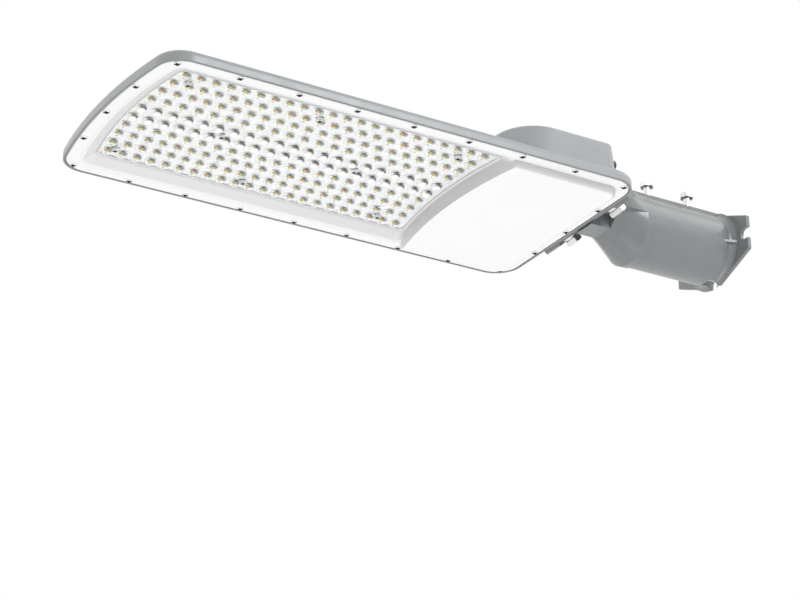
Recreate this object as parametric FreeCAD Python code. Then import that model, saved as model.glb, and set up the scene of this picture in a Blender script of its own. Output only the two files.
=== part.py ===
import FreeCAD, Part
import math
import os

V = FreeCAD.Vector

# Street light head on a cast arm, in millimetres.
# The origin is the centre of the pole socket's mouth. +X leaves the socket towards the pole,
# +Z is up, and the light shines down. The head lies along -X.

# Pole socket
SOCKET_BORE = 65.0
SOCKET_WALL = 5.7
SOCKET_DEPTH = 100.0
RING_BEHIND = 8.6
RING_WIDTH = 8.2
RING_PROUD = 1.2
FLARE_LENGTH = 9.0
FLARE_PROUD = 5.0
FLARE_BEND = 5.85
FLARE_BEND_PROUD = 1.0
CABLE_BORE = 13.0
CABLE_RISE = 8.5
GUSSET_LENGTH = 13.0
GUSSET_THICK = 3.0
GUSSET_DROP = 4.0

# Wall flange at the socket's mouth, with open slots for its bolts
FLANGE_THICK = 4.0
FLANGE_HALF_WIDTH = 61.0
FLANGE_SIDE_HALF = 19.0
FLANGE_HALF_HEIGHT = 40.8
FLANGE_TIP_HALF = 8.0
SLOT_WIDTH = 12.8
SLOT_DEPTH = 11.5
LOWER_SLOT_DEPTH = 9.5
SLOT_POCKET = 12.0

# Rib on top of the socket, and its two clamping bolts
RIB_HALF_WIDTH = 12.0
RIB_RISE = 3.9
BOSS_RADIUS = 9.5
BOSS_RISE = 1.5
SET_BOLT = 8.0
SET_BOLT_FLATS = 13.0
SET_BOLT_HEAD = 6.0
SET_BOLT_STANDOFF = 13.5
SET_BOLT_FIRST = 34.0
SET_BOLT_PITCH = 53.0
SET_BOLT_TIP_GAP = 0.2
BOLT_PLAY = 0.15

# Neck and the sloped foot that bolts to the housing
NECK_LENGTH = 39.5
FOOT_REACH = 161.2
FOOT_ANGLE = 45.0
FOOT_THICK = 8.0
FOOT_HALF_RUN = 11.0
FOOT_HALF_WIDTH = 76.0
FOOT_TOP_HALF = 60.0
FOOT_SHOULDER = 11.0
PAD_START = 51.0
PAD_PROUD = 3.0
PAD_EDGE = 2.5
KEEL_HALF_WIDTH = 13.5
KEEL_DROP = 11.5
KEEL_BACK = 148.0
KEEL_FRONT = 172.0
KEEL_ARC_HALF = 20.5
KEEL_TOP_SETBACK = 12.0
CONE_HALF_WIDTH = 32.0
WEB_FLOOR = 4.5
WEB_HEIGHT = 12.0
WEB_FLOOR_HALF = 40.0
WEB_TOP_HALF = 56.0
WEB_CORNER_ANGLE = 50.0
ARM_BOLT = 10.0
ARM_BOLT_FLATS = 16.0
ARM_BOLT_HEAD = 6.4
ARM_BOLT_GRIP = 24.0
KEEP_OUT = 60.0
ARM_BOLT_SPACING = 80.0
SPOT_FACE_RADIUS = 11.0
SPOT_FACE_REACH = 40.0

# Outline of the head in plan
HEAD_LENGTH = 535.6
HEAD_WIDTH = 252.8
HEAD_BACK = 187.8
NOSE_RADIUS = 600.0
CORNER_RADIUS = 29.0

# Heights, measured from the socket's axis
RIM_DROP = 20.8
CHIP_ABOVE_RIM = 9.3
PANEL_PROUD = 7.2

# Front cover
COVER_THICK = 2.5
COVER_EDGE = 1.2
JOINT_GAP = 0.8
WINDOW_FRONT = 17.9
WINDOW_SIDE = 18.4
WINDOW_RADIUS = 480.0
WINDOW_CORNER = 8.0
BEVEL_WIDTH = 5.0
BEVEL_DEPTH = 1.3
BEZEL_RUN = 12.0
BEZEL_WALL = 2.8
BEZEL_LIP = 1.5
BEZEL_GAP = 0.3
BEZEL_CORNER = 6.0
PARTING_WALL = 156.2
PARTING_DRAFT = 3.5
PANEL_SIDE = 16.4
PANEL_BACK = 15.2
PANEL_CORNER = 15.0
PANEL_FILLET = 5.0

# Housing
SKIRT_WALL = 1.8
SKIRT_GAP = 0.6
SHOULDER_RISE = 12.5
SHOULDER_FILLET = 6.5
DECK_THICK = 3.7
CROWN_INSET = 8.0
CROWN_RUN = 6.0
RIM_LAND = 17.4
HUMP_HEIGHT = 48.0
HUMP_TOP_SIDE = 29.0
HUMP_SIDE_DRAFT = 6.6
HUMP_FRONT = 148.0
HUMP_FRONT_DRAFT = 17.6
HUMP_BACK = 12.6
HUMP_CORNER = 44.0
HUMP_BACK_CORNER = 7.0
HUMP_FILLET = 5.0
HUMP_WALL = 3.2
FIN_COUNT = 9
FIN_PITCH = 20.0
FIN_THICK = 2.6
FIN_HEIGHT = 11.0
FIN_SLOPE = 12.0
FIN_START = 26.0
FIN_CLEARANCE = 14.0
SEAT_HALF_WIDTH = 60.0
SEAT_HALF_RUN = 13.0
SEAT_CAP = 7.0
SEAT_CAP_RISE = 6.0
SEAT_ROOT_RISE = 11.0

# Gasket in the housing's rim
GROOVE_INSET = 10.4
GROOVE_WIDTH = 3.8
GROOVE_DEPTH = 1.2
GASKET_PLAY = 0.2

# Cover screws
SCREW_INSET = 7.1
SCREW_HEAD_RADIUS = 3.6
SCREW_HEAD_HEIGHT = 2.0
SCREW_RADIUS = 1.9
SCREW_REACH = 7.5
SCREW_PLAY = 0.1
HOLE_PLAY = 0.3
TIP_ROOM = 0.4
SIDE_SCREW_COUNT = 8
SIDE_SCREW_PITCH = 62.0
SIDE_SCREW_START = 24.4
END_SCREW_PITCH = 58.0
CORNER_SCREW_ANGLE = 50.0

# Light field: rows run along the head
ROW_COUNT = 10
FIELD_SIDE = 10.5
FULL_COUNT = 22
SHORT_COUNT = 21
SHORT_ROWS = (3, 4, 5, 6)
CLEAR_ROWS = (4, 5)
FIELD_CENTRE = 326.2
FIELD_FRONT = 171.4
FIELD_FRONT_RADIUS = 420.0
FIELD_BACK = 155.6
FIELD_BACK_RADIUS = 515.0
CHIP_SIZE = 3.4
CHIP_HEIGHT = 0.7
BOARD_THICK = 1.6
LENS_GAP = 0.3
LENS_BASE = 1.4
LENS_BORDER = 3.0
LENS_LEDGE = 1.5
LENS_SIDE_COUNT = 8
LENS_RADIUS = 6.3
LENS_CROWN = 3.3
LENS_HEIGHT = 3.0
CLEAR_LENS_HEIGHT = 4.2
LENS_SEAL = 0.8
POST_RADIUS = 4.2
POST_HEIGHT = 2.2
LENS_SCREW_RADIUS = 1.5
LENS_SCREW_HEAD = 2.9
LENS_SCREW_HEAD_HEIGHT = 1.8
LENS_SCREW_BITE = 2.8
EDGE_POSTS = (0, 9, 19)
MIDDLE_POSTS = (5, 14)

# Gear compartment
DRIVER_SIZE = (63.0, 130.0, 35.0)
DRIVER_BACK = 58.0
DRIVER_EAR = 12.0
DRIVER_EAR_THICK = 2.0
DRIVER_EAR_MARGIN = 3.0
DRIVER_EDGE = 3.0
BOSS_DROP = 6.0
GEAR_BOSS = 5.0
GEAR_SCREW = 2.0
GEAR_SCREW_HEAD = 3.8
GEAR_SCREW_HEAD_HEIGHT = 2.4
GEAR_SCREW_BITE = 5.0
SURGE_SIZE = (26.0, 48.0, 28.0)
SURGE_EDGE = 2.0
TERMINAL_SIZE = (22.0, 40.0, 14.0)
TERMINAL_WAY_COUNT = 3
TERMINAL_WIRE = 3.0
TERMINAL_SCREW = 2.5
TERMINAL_SCREW_PROUD = 1.5
GEAR_BACK_GAP = 8.0
GEAR_SIDE = 54.0
EARTH_SIDE = 25.0
GLAND_FLATS = 19.0
GLAND_HEX = 8.0
GLAND_DOME = 12.0
GLAND_NUT_FLATS = 17.0
GLAND_NUT_THICK = 4.0
GLAND_NUT_GAP = 0.7
GLAND_LEAD = 9.0
GLAND_TIP = 8.0
VENT_RADIUS = 5.5
VENT_LENGTH = 6.0
VENT_THREAD = 4.0
VENT_EDGE = 1.5
VENT_SIDE = 38.4
VENT_ABOVE_DECK = 21.5

# How far the forms of one casting run into each other, and a cutter runs past a face
OVERLAP = 1.0
RIB_ROOT = 2.0

# Heights and places worked out from the sizes above
TUBE_RADIUS = SOCKET_BORE / 2 + SOCKET_WALL
RING_RADIUS = TUBE_RADIUS + RING_PROUD
RING_BACK = -(SOCKET_DEPTH + RING_BEHIND)
RING_FRONT = RING_BACK - RING_WIDTH
RIB_TOP = TUBE_RADIUS + RIB_RISE
RIM_Z = -RIM_DROP
PANEL_Z = RIM_Z - PANEL_PROUD
FLANGE_TOP = RIM_Z + COVER_THICK
LAND_Z = FLANGE_TOP + JOINT_GAP
CHIP_Z = RIM_Z + CHIP_ABOVE_RIM
BOARD_Z = CHIP_Z + CHIP_HEIGHT
DECK_UNDER = BOARD_Z + BOARD_THICK
DECK_TOP = DECK_UNDER + DECK_THICK
SHOULDER_Z = RIM_Z + SHOULDER_RISE
LENS_TOP = CHIP_Z - LENS_GAP
LENS_FACE = LENS_TOP - LENS_BASE
BEZEL_END = LENS_FACE - BEZEL_GAP
SEAL_Z = LENS_FACE - LENS_SEAL
HALF = HEAD_WIDTH / 2
ROW_PITCH = 2 * (HALF - WINDOW_SIDE - BEZEL_RUN - FIELD_SIDE) / (ROW_COUNT - 1)
VENT_Y = VENT_SIDE - HALF
BACK_X = -HEAD_BACK
FRONT_X = BACK_X - HEAD_LENGTH
FIELD_X = BACK_X - FIELD_CENTRE
HUMP_BACK_X = BACK_X - HUMP_BACK
HUMP_TOP = CHIP_Z + HUMP_HEIGHT
CEILING = HUMP_TOP - HUMP_WALL
GLAND_HOLE = CABLE_BORE / 2


def arc(x, y, radius, start, end, z):
    """Arc about (x, y), from one angle to another in degrees."""
    def at(angle):
        a = math.radians(angle)
        return V(x + radius * math.cos(a), y + radius * math.sin(a), z)
    return Part.Arc(at(start), at((start + end) / 2), at(end)).toShape()


def line(x0, y0, x1, y1, z):
    return Part.makeLine(V(x0, y0, z), V(x1, y1, z))


def shield(apex, back, half, radius, front_corner, back_corner, z):
    """Closed outline: a bowed nose, straight sides and back, and four round corners."""
    nose = apex + radius
    fy = half - front_corner
    fx = nose - math.sqrt((radius - front_corner) ** 2 - fy ** 2)
    turn = math.degrees(math.atan2(fy, nose - fx))
    bx = back - back_corner
    by = half - back_corner
    return Part.Wire([
        arc(nose, 0, radius, 180 + turn, 180 - turn, z),
        arc(fx, fy, front_corner, 180 - turn, 90, z),
        line(fx, half, bx, half, z),
        arc(bx, by, back_corner, 90, 0, z),
        line(back, by, back, -by, z),
        arc(bx, -by, back_corner, 0, -90, z),
        line(bx, -half, fx, -half, z),
        arc(fx, -fy, front_corner, -90, turn - 180, z),
    ])


def head_outline(inset, z):
    """The head's own outline, moved inwards."""
    corner = CORNER_RADIUS - inset
    return shield(FRONT_X + inset, BACK_X - inset, HALF - inset, NOSE_RADIUS - inset,
                  corner, corner, z)


def window(front, back, half, corner, z):
    """Outline between two bows that bulge to the front, with straight sides."""
    near = front + WINDOW_RADIUS
    far = back + WINDOW_RADIUS
    cy = half - corner
    fx = near - math.sqrt((WINDOW_RADIUS - corner) ** 2 - cy ** 2)
    bx = far - math.sqrt((WINDOW_RADIUS + corner) ** 2 - cy ** 2)
    ft = math.degrees(math.atan2(cy, near - fx))
    bt = math.degrees(math.atan2(cy, far - bx))
    return Part.Wire([
        arc(near, 0, WINDOW_RADIUS, 180 + ft, 180 - ft, z),
        arc(fx, cy, corner, 180 - ft, 90, z),
        line(fx, half, bx, half, z),
        arc(bx, cy, corner, 90, -bt, z),
        arc(far, 0, WINDOW_RADIUS, 180 - bt, 180 + bt, z),
        arc(bx, -cy, corner, bt, -90, z),
        line(bx, -half, fx, -half, z),
        arc(fx, -cy, corner, -90, ft - 180, z),
    ])


def parting(z):
    """Apex of the bowed wall between the light window and the gear panel."""
    rise = (z - PANEL_Z) / (LENS_FACE - PANEL_Z)
    return BACK_X - PARTING_WALL + PARTING_DRAFT * (1 - rise)


def prism(wire, top):
    """Solid from a flat outline up or down to a height."""
    face = Part.Face(wire)
    return face.extrude(V(0, 0, top - wire.BoundBox.ZMin))


def loft(*wires):
    return Part.makeLoft(list(wires), True, True)


def cylinder(radius, x, y, z0, z1):
    """Upright cylinder between two heights."""
    low = min(z0, z1)
    return Part.makeCylinder(radius, abs(z1 - z0), V(x, y, low))


def rod(radius, x0, x1, y, z):
    """Cylinder along X."""
    return Part.makeCylinder(radius, x1 - x0, V(x0, y, z), V(1, 0, 0))


def block(x0, x1, y0, y1, z0, z1):
    return Part.makeBox(x1 - x0, y1 - y0, z1 - z0, V(x0, y0, z0))


def across(points, half):
    """Solid from (x, z) points, reaching as far to each side."""
    wire = Part.makePolygon([V(x, -half, z) for x, z in points + points[:1]])
    return Part.Face(wire).extrude(V(0, 2 * half, 0))


def hexagon(flats, height):
    """Hexagonal prism standing on the origin, along +Z."""
    reach = flats / math.sqrt(3)
    corners = [V(reach * math.cos(math.radians(60 * k)), reach * math.sin(math.radians(60 * k)), 0)
               for k in range(7)]
    return Part.Face(Part.makePolygon(corners)).extrude(V(0, 0, height))


def fuse(shapes):
    return shapes[0].multiFuse(shapes[1:]).removeSplitter()


def level_edges(shape, z):
    """Edges that lie in one level plane."""
    return [e for e in shape.Edges
            if abs(e.BoundBox.ZMin - z) < 1e-4 and abs(e.BoundBox.ZMax - z) < 1e-4]


def screw_up(x, y, face, head, head_height, radius, reach):
    """Screw driven upwards: its head hangs below a face and its shank goes above it."""
    body = cylinder(head, x, y, face - head_height, face)
    return body.fuse(cylinder(radius, x, y, face, face + reach))


def save(name, shape):
    solids = shape.Solids
    whole = solids[0] if len(solids) == 1 else Part.makeCompound(solids)
    whole.exportStep("parts/" + name + ".step")


# Screw places round the cover

def half_width_at(x, inset):
    """Half width of the inset outline at a place along the head."""
    corner = CORNER_RADIUS - inset
    half = HALF - inset
    nose = FRONT_X + NOSE_RADIUS
    cy = half - corner
    cx = nose - math.sqrt((NOSE_RADIUS - inset - corner) ** 2 - cy ** 2)
    if x >= cx:
        return half
    return cy + math.sqrt(corner ** 2 - (x - cx) ** 2)


def cover_screw_places():
    places = []
    for k in range(SIDE_SCREW_COUNT):
        x = FRONT_X + SIDE_SCREW_START + k * SIDE_SCREW_PITCH
        y = half_width_at(x, SCREW_INSET)
        places += [(x, -y), (x, y)]
    turn = math.radians(CORNER_SCREW_ANGLE)
    run = CORNER_RADIUS - SCREW_INSET
    cx = BACK_X - CORNER_RADIUS + run * math.cos(turn)
    cy = HALF - CORNER_RADIUS + run * math.sin(turn)
    places += [(cx, -cy), (cx, cy)]
    bow = NOSE_RADIUS - SCREW_INSET
    for k in (-1, 0, 1):
        y = k * END_SCREW_PITCH
        places.append((BACK_X - SCREW_INSET, y))
        places.append((FRONT_X + NOSE_RADIUS - math.sqrt(bow ** 2 - y ** 2), y))
    return places


# Lens places

def row_ends(row):
    """Places of the first and last lens of a row, with the row's distance to the side."""
    y = (row - (ROW_COUNT - 1) / 2) * ROW_PITCH
    front = FIELD_X - FIELD_FRONT + FIELD_FRONT_RADIUS - math.sqrt(FIELD_FRONT_RADIUS ** 2 - y ** 2)
    back = FIELD_X + FIELD_BACK + FIELD_BACK_RADIUS - math.sqrt(FIELD_BACK_RADIUS ** 2 - y ** 2)
    return front, back, y


def lens_places():
    """Each lens as (x, y, row)."""
    places = []
    for row in range(ROW_COUNT):
        front, back, y = row_ends(row)
        count = SHORT_COUNT if row in SHORT_ROWS else FULL_COUNT
        pitch = (back - front) / (count - 1)
        places += [(front + k * pitch, y, row) for k in range(count)]
    return places


def post_places():
    """Fixing posts between four lenses, along each side and down the middle."""
    places = []
    for row in (0, ROW_COUNT - 2):
        front, back, y = row_ends(row)
        pitch = (back - front) / (FULL_COUNT - 1)
        places += [(front + (k + 0.5) * pitch, y + ROW_PITCH / 2) for k in EDGE_POSTS]
    front, back, y = row_ends(ROW_COUNT // 2 - 1)
    pitch = (back - front) / (SHORT_COUNT - 1)
    places += [(front + (k + 0.5) * pitch, y + ROW_PITCH / 2) for k in MIDDLE_POSTS]
    return places


# Window outlines at each level

WINDOW_X = FRONT_X + WINDOW_FRONT
WINDOW_HALF = HALF - WINDOW_SIDE
BEVEL_Z = RIM_Z + BEVEL_DEPTH


def rim_window(grow, z):
    return window(WINDOW_X - grow, parting(z), WINDOW_HALF + grow, WINDOW_CORNER, z)


def floor_window(grow, back_grow, z):
    return window(WINDOW_X + BEZEL_RUN - grow, parting(z) + back_grow,
                  WINDOW_HALF - BEZEL_RUN + grow, BEZEL_CORNER, z)


def panel_outline(wall, z):
    """Outline of the gear panel: the bowed front meets the sides at sharp corners."""
    apex = parting(z) + wall
    half = HALF - PANEL_SIDE - wall
    back = BACK_X - PANEL_BACK - wall
    corner = PANEL_CORNER - wall
    bow = apex + WINDOW_RADIUS
    fx = bow - math.sqrt(WINDOW_RADIUS ** 2 - half ** 2)
    turn = math.degrees(math.atan2(half, bow - fx))
    bx = back - corner
    by = half - corner
    return Part.Wire([
        arc(bow, 0, WINDOW_RADIUS, 180 + turn, 180 - turn, z),
        line(fx, half, bx, half, z),
        arc(bx, by, corner, 90, 0, z),
        line(back, by, back, -by, z),
        arc(bx, -by, corner, 0, -90, z),
        line(bx, -half, fx, -half, z),
    ])


def make_cover():
    """White front: a flat rim, a sloped bezel round the light window and a raised gear panel."""
    rim = prism(head_outline(SKIRT_WALL + SKIRT_GAP, RIM_Z), FLANGE_TOP)
    rim = rim.makeChamfer(COVER_EDGE, level_edges(rim, RIM_Z))
    panel = loft(panel_outline(0, PANEL_Z), panel_outline(0, FLANGE_TOP))
    soft = [e for e in level_edges(panel, PANEL_Z)
            if not (e.Curve.TypeId == "Part::GeomCircle" and e.Curve.Radius > HALF)]
    panel = panel.makeFillet(PANEL_FILLET, soft)
    bezel = loft(window(WINDOW_X - BEZEL_WALL, parting(BEVEL_Z) + BEZEL_WALL,
                        WINDOW_HALF + BEZEL_WALL, WINDOW_CORNER, BEVEL_Z),
                 floor_window(BEZEL_WALL, BEZEL_WALL, BEZEL_END))
    body = fuse([rim, panel, bezel])
    bevel = loft(rim_window(BEVEL_WIDTH, RIM_Z), rim_window(0, BEVEL_Z))
    well = loft(rim_window(0, BEVEL_Z), floor_window(0, 0, BEZEL_END))
    hollow = loft(panel_outline(COVER_THICK, PANEL_Z + COVER_THICK),
                  panel_outline(COVER_THICK, FLANGE_TOP))
    beyond = BEZEL_WALL + OVERLAP
    rebate = prism(floor_window(beyond, beyond, SEAL_Z), LENS_FACE)
    rebate = rebate.cut(prism(floor_window(BEZEL_LIP, BEZEL_LIP, SEAL_Z), LENS_FACE))
    body = body.cut(bevel).cut(well).cut(hollow).cut(rebate)
    hole = SCREW_RADIUS + HOLE_PLAY
    holes = [cylinder(hole, x, y, RIM_Z - OVERLAP, FLANGE_TOP + OVERLAP)
             for x, y in cover_screw_places()]
    return body.cut(holes)


def foot_point(run, out, y=0.0):
    """Point on the arm's foot: run goes up its slope, out goes away from the housing."""
    a = math.radians(FOOT_ANGLE)
    x = -FOOT_REACH + run * math.cos(a) + out * math.sin(a)
    z = run * math.sin(a) - out * math.cos(a)
    return V(x, y, z)


def foot_plate(outline, inner, outer):
    """Plate on the foot's slope, from (y, run) points."""
    wire = closed([foot_point(run, inner, y) for y, run in outline])
    return Part.Face(wire).extrude(foot_point(0, outer) - foot_point(0, inner))


def sloped_cylinder(radius, y, inner, outer):
    """Cylinder square to the foot."""
    start = foot_point(0, inner, y)
    end = foot_point(0, outer, y)
    return Part.makeCylinder(radius, abs(outer - inner), start, end - start)


def hump_outline(level, wall, z):
    """Hump outline: level 0 at the deck, 1 at the top, moved inwards by a wall."""
    apex = BACK_X - HUMP_FRONT + HUMP_FRONT_DRAFT * level + wall
    half = HALF - HUMP_TOP_SIDE + HUMP_SIDE_DRAFT * (1 - level) - wall
    return shield(apex, HUMP_BACK_X - wall, half, WINDOW_RADIUS - wall,
                  HUMP_CORNER - wall, HUMP_BACK_CORNER - wall, z)


def make_housing():
    """Cast tray: skirt, rim land, deck with cooling fins, gear hump and the arm's seat."""
    slab = prism(head_outline(0, RIM_Z), SHOULDER_Z)
    slab = slab.makeFillet(SHOULDER_FILLET, level_edges(slab, SHOULDER_Z))
    crown = loft(head_outline(CROWN_INSET, SHOULDER_Z - OVERLAP),
                 head_outline(CROWN_INSET + CROWN_RUN, DECK_TOP))
    hump = loft(hump_outline(0, 0, DECK_UNDER), hump_outline(1, 0, HUMP_TOP))
    hump = hump.makeFillet(HUMP_FILLET, level_edges(hump, HUMP_TOP))
    shapes = [slab, crown, hump]
    fin_back = BACK_X - HUMP_FRONT - FIN_CLEARANCE
    fin_front = FRONT_X + FIN_START
    top = DECK_TOP + FIN_HEIGHT
    root = DECK_TOP - OVERLAP
    fin = across([(fin_front, root), (fin_front + FIN_SLOPE, top),
                  (fin_back - FIN_SLOPE, top), (fin_back, root)], FIN_THICK / 2)
    for k in range(FIN_COUNT):
        shapes.append(fin.translated(V(0, (k - (FIN_COUNT - 1) / 2) * FIN_PITCH, 0)))
    low = foot_point(-SEAT_HALF_RUN, -FOOT_THICK)
    high = foot_point(SEAT_HALF_RUN, -FOOT_THICK)
    wall = HUMP_BACK_X - HUMP_WALL / 2
    floor = SHOULDER_Z - OVERLAP
    shapes.append(across([(wall, floor), (BACK_X - SKIRT_WALL, floor), (low.x, low.z),
                          (high.x, high.z), (high.x - SEAT_CAP, high.z + SEAT_CAP_RISE),
                          (wall, high.z + SEAT_ROOT_RISE)], SEAT_HALF_WIDTH))
    body = fuse(shapes)
    body = body.cut(prism(head_outline(SKIRT_WALL, RIM_Z), LAND_Z))
    body = body.cut(prism(head_outline(RIM_LAND, LAND_Z), DECK_UNDER))
    body = body.cut(loft(hump_outline(0, HUMP_WALL, DECK_UNDER), hump_outline(1, HUMP_WALL, CEILING)))
    groove = prism(head_outline(GROOVE_INSET, LAND_Z), LAND_Z + GROOVE_DEPTH)
    groove = groove.cut(prism(head_outline(GROOVE_INSET + GROOVE_WIDTH, LAND_Z), LAND_Z + GROOVE_DEPTH))
    body = body.cut(groove)
    under = CEILING - BOSS_DROP
    bosses = [cylinder(GEAR_BOSS, x, y, under, CEILING + OVERLAP) for x, y in boss_places()]
    body = fuse([body] + bosses)
    depth = RIM_Z + SCREW_REACH + TIP_ROOM
    cuts = [cylinder(SCREW_RADIUS + SCREW_PLAY, x, y, LAND_Z, depth) for x, y in cover_screw_places()]
    bite = DECK_UNDER + LENS_SCREW_BITE + TIP_ROOM
    cuts += [cylinder(LENS_SCREW_RADIUS + SCREW_PLAY, x, y, DECK_UNDER, bite)
             for x, y in post_places()]
    tip = under + GEAR_SCREW_BITE + TIP_ROOM
    cuts += [cylinder(GEAR_SCREW + SCREW_PLAY, x, y, under, tip) for x, y in boss_places()]
    inside = HUMP_BACK_X - HUMP_WALL - OVERLAP
    pocket = GLAND_NUT_FLATS / math.sqrt(3) + GLAND_NUT_GAP
    cuts.append(rod(GLAND_HOLE, inside, -FOOT_REACH, 0, CABLE_RISE))
    cuts.append(rod(pocket, HUMP_BACK_X, -FOOT_REACH + SEAT_HALF_RUN, 0, CABLE_RISE))
    cuts.append(rod(VENT_THREAD + SCREW_PLAY, inside, HUMP_BACK_X + OVERLAP, VENT_Y, vent_z()))
    for y in arm_bolt_sides():
        cuts.append(sloped_cylinder(ARM_BOLT / 2 + BOLT_PLAY, y, -ARM_BOLT_GRIP - TIP_ROOM, 0))
    return body.cut(cuts)


def vent_z():
    return DECK_TOP + VENT_ABOVE_DECK


def arm_bolt_sides():
    return (-ARM_BOLT_SPACING / 2, ARM_BOLT_SPACING / 2)


def driver_place():
    """Lowest and highest corner of the driver's case."""
    length, width, height = DRIVER_SIZE
    x1 = BACK_X - DRIVER_BACK
    top = CEILING - BOSS_DROP
    return V(x1 - length, -width / 2, top - height), V(x1, width / 2, top)


def boss_places():
    """Screw bosses under the gear compartment's roof: two for the driver, one for the earth."""
    low, high = driver_place()
    x = (low.x + high.x) / 2
    reach = high.y + DRIVER_EAR / 2
    return [(x, -reach), (x, reach), (gear_x(), -EARTH_SIDE)]


def gear_x():
    """Middle line of the small gear, between the driver and the back wall."""
    return HUMP_BACK_X - HUMP_WALL - GEAR_BACK_GAP - TERMINAL_SIZE[0] / 2


def make_gasket():
    low = FLANGE_TOP
    high = LAND_Z + GROOVE_DEPTH
    outer = prism(head_outline(GROOVE_INSET + GASKET_PLAY, low), high)
    inner = prism(head_outline(GROOVE_INSET + GROOVE_WIDTH - GASKET_PLAY, low), high)
    return outer.cut(inner)


def make_lens_seal():
    inner = BEZEL_LIP + GASKET_PLAY
    outer = prism(floor_window(BEZEL_WALL, BEZEL_WALL, SEAL_Z), LENS_FACE)
    return outer.cut(prism(floor_window(inner, inner, SEAL_Z), LENS_FACE))


def ring_points(x, y, radius, z):
    """Corners of a regular outline, with a flat side facing along the head."""
    step = 360.0 / LENS_SIDE_COUNT
    turns = [math.radians(step * (k + 0.5)) for k in range(LENS_SIDE_COUNT)]
    return [V(x + radius * math.cos(a), y + radius * math.sin(a), z) for a in turns]


def closed(points):
    return Part.makePolygon(points + points[:1])


def side_faces(lower, upper):
    """Flat faces between two outlines that have as many corners."""
    count = len(lower)
    faces = []
    for k in range(count):
        n = (k + 1) % count
        faces.append(Part.Face(closed([lower[k], lower[n], upper[n], upper[k]])))
    return faces


def make_lens_plate():
    """Clear plate moulded with one lens under each chip and a post round each fixing screw."""
    outline = floor_window(LENS_BORDER, LENS_BORDER, LENS_FACE)
    faces = []
    openings = []
    for x, y, row in lens_places():
        height = CLEAR_LENS_HEIGHT if row in CLEAR_ROWS else LENS_HEIGHT
        base = ring_points(x, y, LENS_RADIUS, LENS_FACE)
        crown = ring_points(x, y, LENS_CROWN, LENS_FACE - height)
        faces += side_faces(base, crown)
        faces.append(Part.Face(closed(crown)))
        openings.append(closed(base))
    bores = []
    tip = LENS_FACE - POST_HEIGHT
    for x, y in post_places():
        base = ring_points(x, y, POST_RADIUS, LENS_FACE)
        crown = ring_points(x, y, POST_RADIUS, tip)
        bore_tip = ring_points(x, y, LENS_SCREW_RADIUS + HOLE_PLAY, tip)
        bore_top = ring_points(x, y, LENS_SCREW_RADIUS + HOLE_PLAY, LENS_TOP)
        faces += side_faces(base, crown)
        faces += side_faces(bore_tip, bore_top)
        faces.append(Part.Face([closed(crown), closed(bore_tip)]))
        openings.append(closed(base))
        bores.append(closed(bore_top))
    top = outline.translated(V(0, 0, LENS_BASE))
    faces.append(Part.Face([outline] + openings))
    faces.append(Part.Face([top] + bores))
    faces += prism_sides(outline, LENS_BASE)
    solid = Part.makeSolid(Part.makeShell(faces))
    solid.fix(1e-4, 1e-4, 1e-4)
    ledge = prism(floor_window(LENS_BORDER, LENS_BORDER, LENS_TOP), BOARD_Z)
    inner = floor_window(LENS_BORDER - LENS_LEDGE, LENS_BORDER - LENS_LEDGE, LENS_TOP)
    ledge = ledge.cut(prism(inner, BOARD_Z))
    return solid.fuse(ledge)


def prism_sides(wire, height):
    return wire.extrude(V(0, 0, height)).Faces


def make_board():
    board = prism(floor_window(LENS_BORDER, LENS_BORDER, BOARD_Z), DECK_UNDER)
    hole = LENS_SCREW_RADIUS + HOLE_PLAY
    return board.cut([cylinder(hole, x, y, BOARD_Z - OVERLAP, DECK_UNDER + OVERLAP)
                      for x, y in post_places()])


def make_chips():
    half = CHIP_SIZE / 2
    return Part.makeCompound([block(x - half, x + half, y - half, y + half, CHIP_Z, BOARD_Z)
                              for x, y, row in lens_places()])


def make_lens_screws():
    face = LENS_FACE - POST_HEIGHT
    reach = DECK_UNDER + LENS_SCREW_BITE - face
    return Part.makeCompound([screw_up(x, y, face, LENS_SCREW_HEAD, LENS_SCREW_HEAD_HEIGHT,
                                       LENS_SCREW_RADIUS, reach) for x, y in post_places()])


def make_cover_screws():
    return Part.makeCompound([screw_up(x, y, RIM_Z, SCREW_HEAD_RADIUS, SCREW_HEAD_HEIGHT,
                                       SCREW_RADIUS, SCREW_REACH) for x, y in cover_screw_places()])


def make_tube():
    """Socket tube, turned about X: ring, barrel and the flare into the wall flange."""
    flare = TUBE_RADIUS + FLARE_PROUD
    x_flange = -FLANGE_THICK
    x_flare = x_flange - FLARE_LENGTH
    points = [V(RING_FRONT, 0, 0), V(RING_FRONT, 0, RING_RADIUS), V(RING_BACK, 0, RING_RADIUS),
              V(RING_BACK, 0, TUBE_RADIUS), V(x_flare, 0, TUBE_RADIUS)]
    edges = [Part.makeLine(a, b) for a, b in zip(points, points[1:])]
    bend = V(x_flare + FLARE_BEND, 0, TUBE_RADIUS + FLARE_BEND_PROUD)
    rim = V(x_flange, 0, flare)
    edges.append(Part.Arc(points[-1], bend, rim).toShape())
    edges.append(Part.makeLine(rim, V(x_flange, 0, 0)))
    edges.append(Part.makeLine(V(x_flange, 0, 0), points[0]))
    return Part.Face(Part.Wire(edges)).revolve(V(0, 0, 0), V(1, 0, 0), 360)


def make_flange():
    """Wall flange: a long hexagon across the tube."""
    w, s, h, t = FLANGE_HALF_WIDTH, FLANGE_SIDE_HALF, FLANGE_HALF_HEIGHT, FLANGE_TIP_HALF
    outline = [(w, s), (t, h), (-t, h), (-w, s), (-w, -s), (-t, -h), (t, -h), (w, -s)]
    wire = closed([V(-FLANGE_THICK, y, z) for y, z in outline])
    return Part.Face(wire).extrude(V(FLANGE_THICK, 0, 0))


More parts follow.
